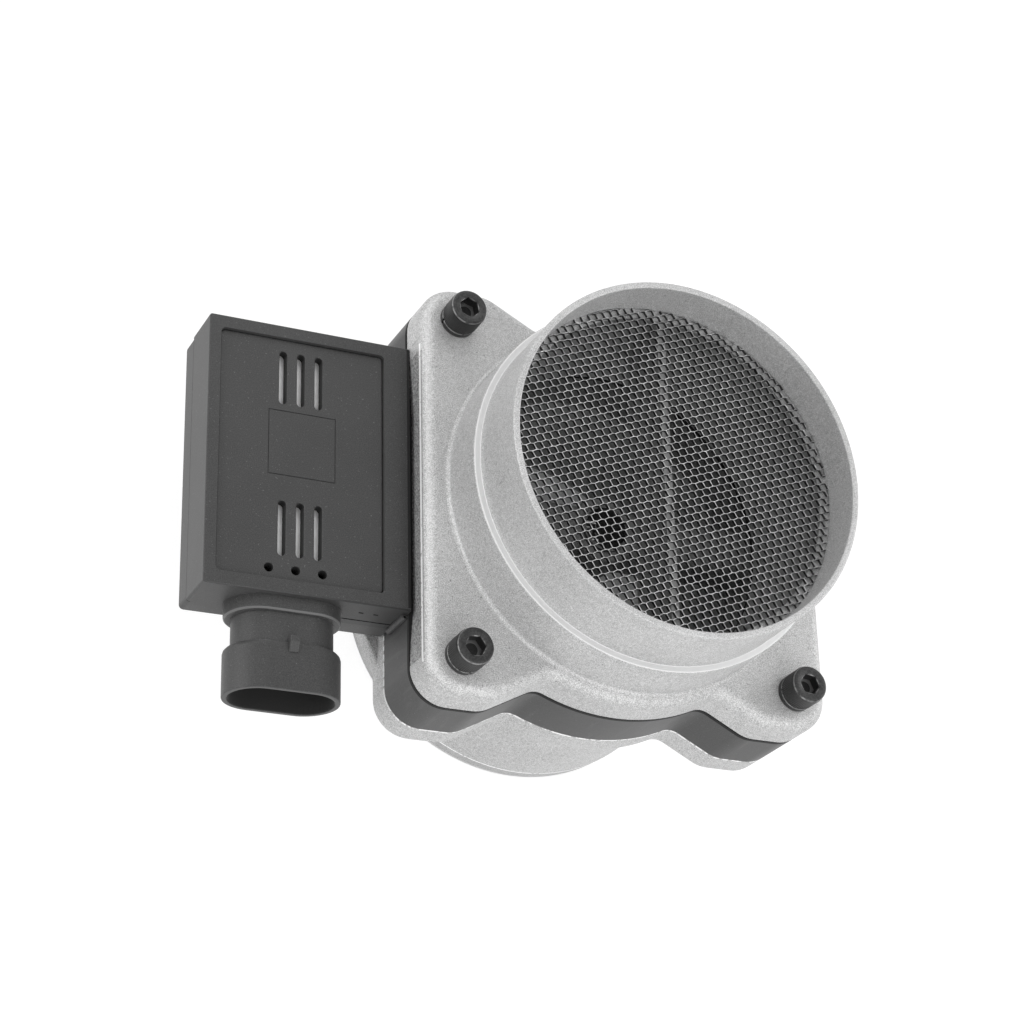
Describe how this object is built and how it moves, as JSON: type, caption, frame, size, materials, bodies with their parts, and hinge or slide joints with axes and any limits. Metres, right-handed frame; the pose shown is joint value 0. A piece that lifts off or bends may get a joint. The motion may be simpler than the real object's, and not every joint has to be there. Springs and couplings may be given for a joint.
{
  "type": "mass airflow sensor",
  "caption": "Hot-wire mass airflow sensor: two cast housings clamp a moulded ring with a side electronics box and flat connector; a screen covers the round inlet.",
  "frame": {"origin": "on the bore axis at the outlet end face, which the part stands on", "axes": "+Z along the bore axis from the outlet to the inlet mouth, +X away from the electronics box, -Y along the connector's plug direction"},
  "size_m": [0.1525, 0.103, 0.1005],
  "materials": {
    "cast_aluminium": "sand cast, turned on the spigot",
    "black_plastic": "moulded, fine texture",
    "screen_steel": "thin sheet",
    "black_steel": "black oxide",
    "plated_steel": "zinc plated",
    "seal_rubber": "smooth",
    "board_laminate": "green lacquer",
    "chip_resin": "moulded resin",
    "capacitor_can": "bright can",
    "sheet_aluminium": "rolled sheet",
    "contact_brass": "tinned brass",
    "element_wire": "platinum wire on ceramic"
  },
  "bodies": {
    "root": {"inlet_housing": "cast_aluminium", "outlet_housing": "cast_aluminium", "sensor_body": "black_plastic", "electronics_cover": "black_plastic", "honeycomb_screen": "screen_steel", "cap_screw_1": "black_steel", "cap_screw_2": "black_steel", "cap_screw_3": "black_steel", "cap_screw_4": "black_steel", "lock_washer_1": "black_steel", "lock_washer_2": "black_steel", "lock_washer_3": "black_steel", "lock_washer_4": "black_steel", "spacer_sleeve_1": "plated_steel", "spacer_sleeve_2": "plated_steel", "spacer_sleeve_3": "plated_steel", "spacer_sleeve_4": "plated_steel", "inlet_seal": "seal_rubber", "outlet_seal": "seal_rubber", "sampling_tube": "screen_steel", "hot_element": "element_wire", "reference_element": "element_wire", "sensor_post_1": "plated_steel", "sensor_post_2": "plated_steel", "sensor_post_3": "plated_steel", "sensor_post_4": "plated_steel", "circuit_board": "board_laminate", "control_chip": "chip_resin", "power_transistor": "chip_resin", "filter_capacitor": "capacitor_can", "shield_plate": "sheet_aluminium", "terminal_blade_1": "contact_brass", "terminal_blade_2": "contact_brass", "terminal_blade_3": "contact_brass"}
  },
  "joints": []
}
